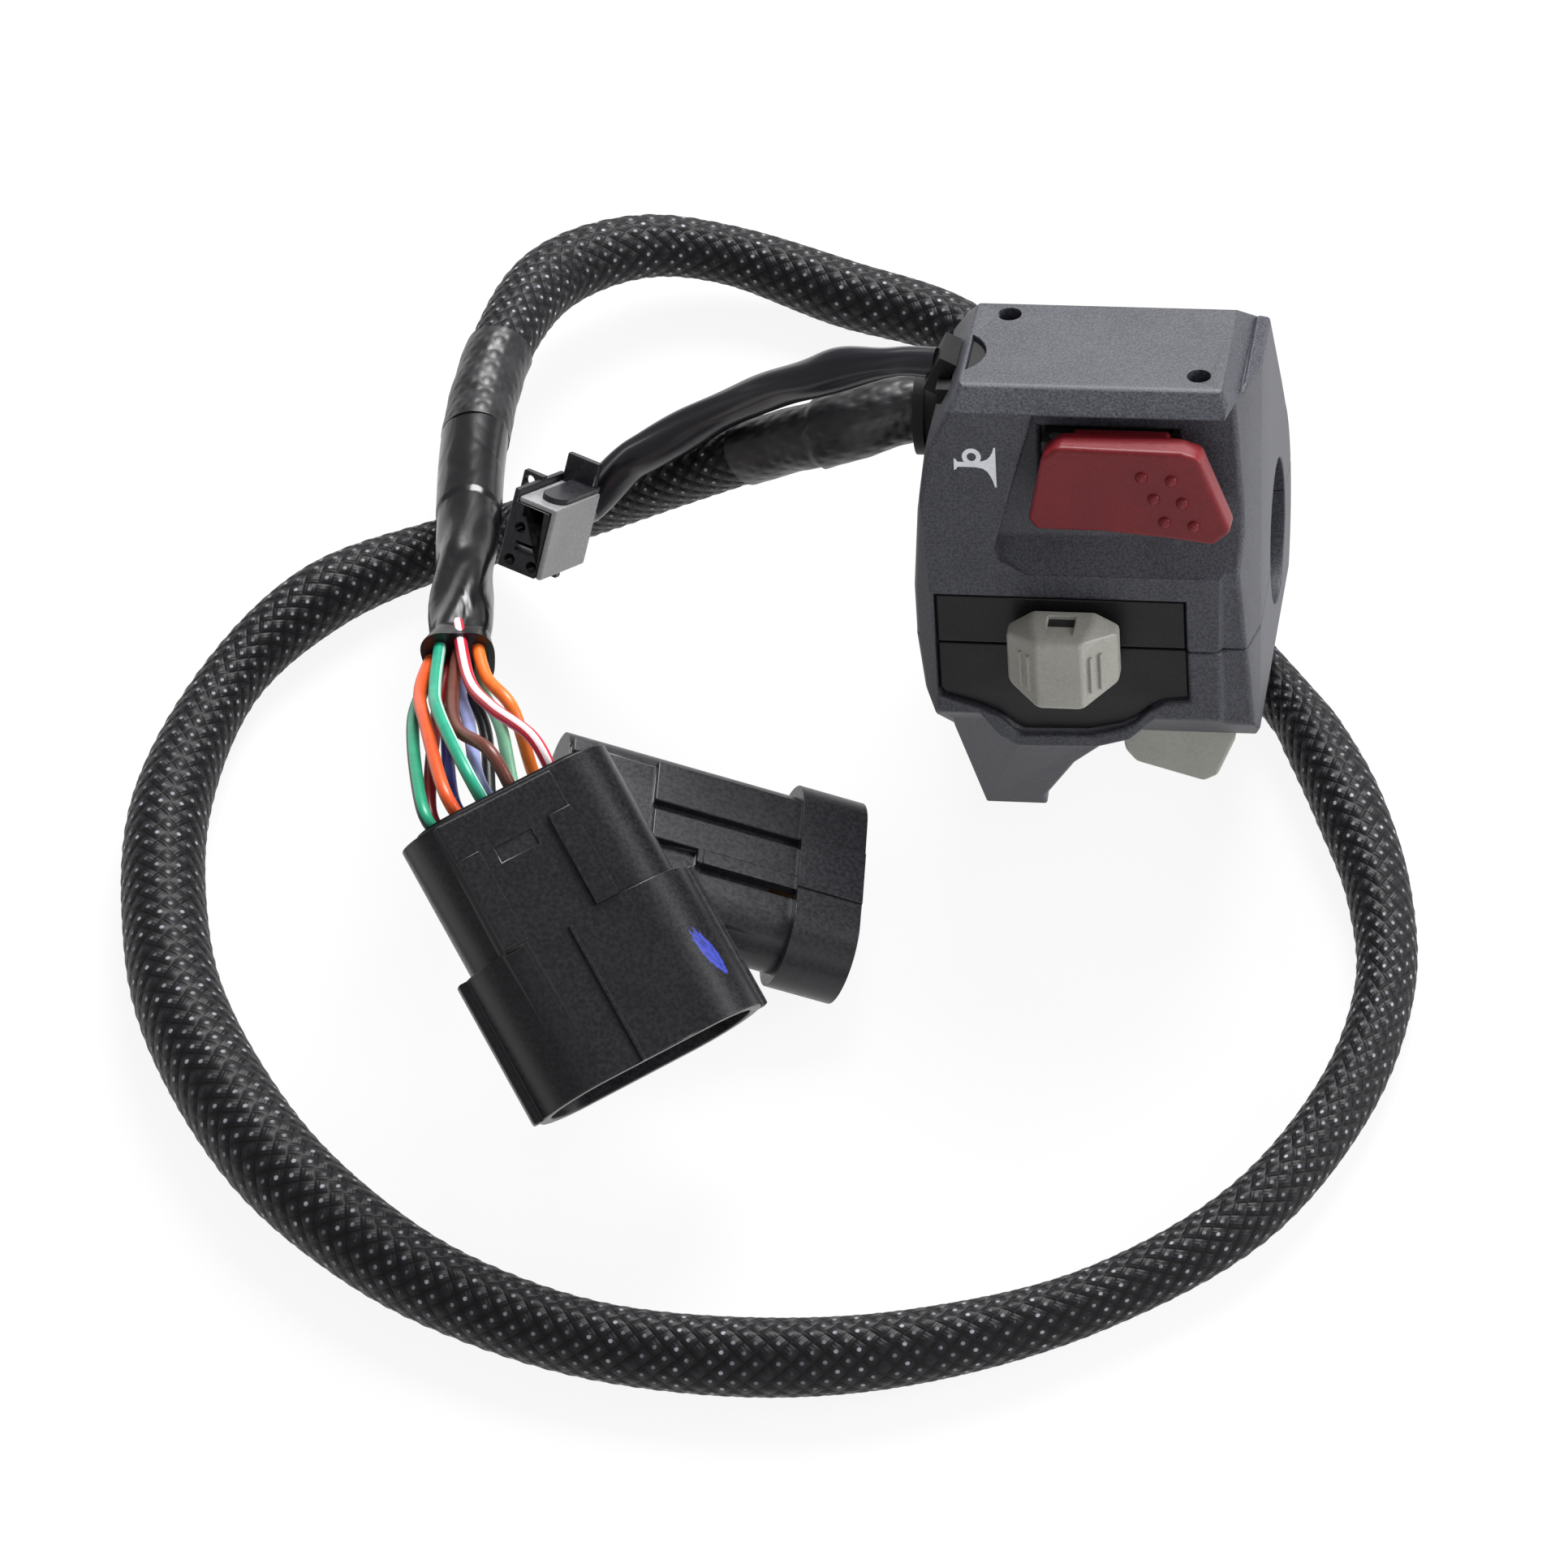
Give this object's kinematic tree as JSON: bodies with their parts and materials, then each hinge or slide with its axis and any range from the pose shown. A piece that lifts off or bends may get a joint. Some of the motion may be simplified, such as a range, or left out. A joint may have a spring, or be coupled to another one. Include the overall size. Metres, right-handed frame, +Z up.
{
  "type": "handlebar switch cluster",
  "caption": "Split handlebar switch cluster with a red horn button, a sliding turn knob, a select trigger and a sleeved harness that ends in plug connectors.",
  "frame": {"origin": "centre of the bar bore, half way along the case", "axes": "+X along the bar towards the plain end of the case, +Y away from the switch face, +Z up from the table the part lies on"},
  "size_m": [0.1992, 0.2243, 0.0816],
  "materials": {
    "case": "fine moulded grain, satin",
    "bezel": "smooth satin",
    "horn": "satin",
    "knob": "satin",
    "trigger": "satin",
    "insulator": "plain moulded",
    "connector": "dusty matt",
    "cover": "smooth half gloss",
    "steel": "plain",
    "brass": "plain",
    "rubber": "matt",
    "sleeve": "woven sleeve",
    "tape": "wrapped vinyl, half gloss",
    "wire_green": "insulation",
    "wire_orange": "insulation",
    "wire_dark_red": "insulation",
    "wire_lavender": "insulation",
    "wire_blue": "insulation",
    "wire_brown": "insulation",
    "wire_red": "insulation with a white stripe",
    "wire_black": "insulation",
    "wire_pale_green": "insulation"
  },
  "bodies": {
    "cluster": {"upper_case": "case", "lower_case": "case", "case_screws": "steel", "upper_bezel": "bezel", "lower_bezel": "bezel", "horn_pivot_pin": "steel", "horn_base": "insulator", "horn_spring": "steel", "horn_contacts": "brass", "turn_base": "insulator", "turn_contact_board": "brass", "select_pivot_pin": "steel", "select_spring": "steel", "select_switch": "insulator", "cable_grommet": "rubber", "lead_grommet": "rubber", "exit_tape": "tape", "harness_sleeve": "sleeve", "end_tape": "tape", "bundle_wrap": "tape", "lead_tube": "tape", "main_connector": "connector", "main_lock": "connector", "main_pins": "brass", "main_seal": "rubber", "second_connector": "connector", "second_lock": "connector", "second_pins": "brass", "second_seal": "rubber", "lead_connector": "connector", "lead_cover": "cover", "lead_latch": "connector", "lead_pins": "brass", "wire_green_left": "wire_green", "wire_orange_left": "wire_orange", "wire_green_mid": "wire_green", "wire_dark_red": "wire_dark_red", "wire_lavender": "wire_lavender", "wire_blue": "wire_blue", "wire_brown": "wire_brown", "wire_red_white": "wire_red", "wire_black": "wire_black", "wire_orange_right": "wire_orange", "wire_pale_green": "wire_pale_green"},
    "horn": {"horn_button": "horn"},
    "carriage": {"turn_carriage": "bezel", "knob_spring": "steel", "detent_ball": "steel", "detent_spring": "steel", "turn_wiper": "brass"},
    "knob": {"turn_knob": "knob"},
    "trigger": {"select_trigger": "trigger"}
  },
  "joints": [
    {"name": "horn_press", "type": "hinge", "parent": "cluster", "child": "horn", "pos_m": [-0.0034, -0.02021, 0.03617], "axis": [0, 0.2756, 0.9613], "range_deg": [0, 6], "stiffness_Nm_per_rad": 0.6, "springref_deg": -2.86, "deforming": ["horn_spring"]},
    {"name": "turn_slide", "type": "slide", "parent": "cluster", "child": "carriage", "axis": [1, 0, 0], "range_m": [-0.0035, 0.0035], "stiffness_N_per_m": 250},
    {"name": "knob_push", "type": "slide", "parent": "carriage", "child": "knob", "axis": [0, 0.9613, -0.2756], "range_m": [0, 0.002], "stiffness_N_per_m": 800, "springref_m": -0.001, "deforming": ["knob_spring"]},
    {"name": "trigger_pull", "type": "hinge", "parent": "cluster", "child": "trigger", "pos_m": [0.0126, -0.02576, -0.00822], "axis": [1, 0, 0], "range_deg": [0, 8], "stiffness_Nm_per_rad": 0.4, "springref_deg": -3.44, "deforming": ["select_spring"]}
  ]
}
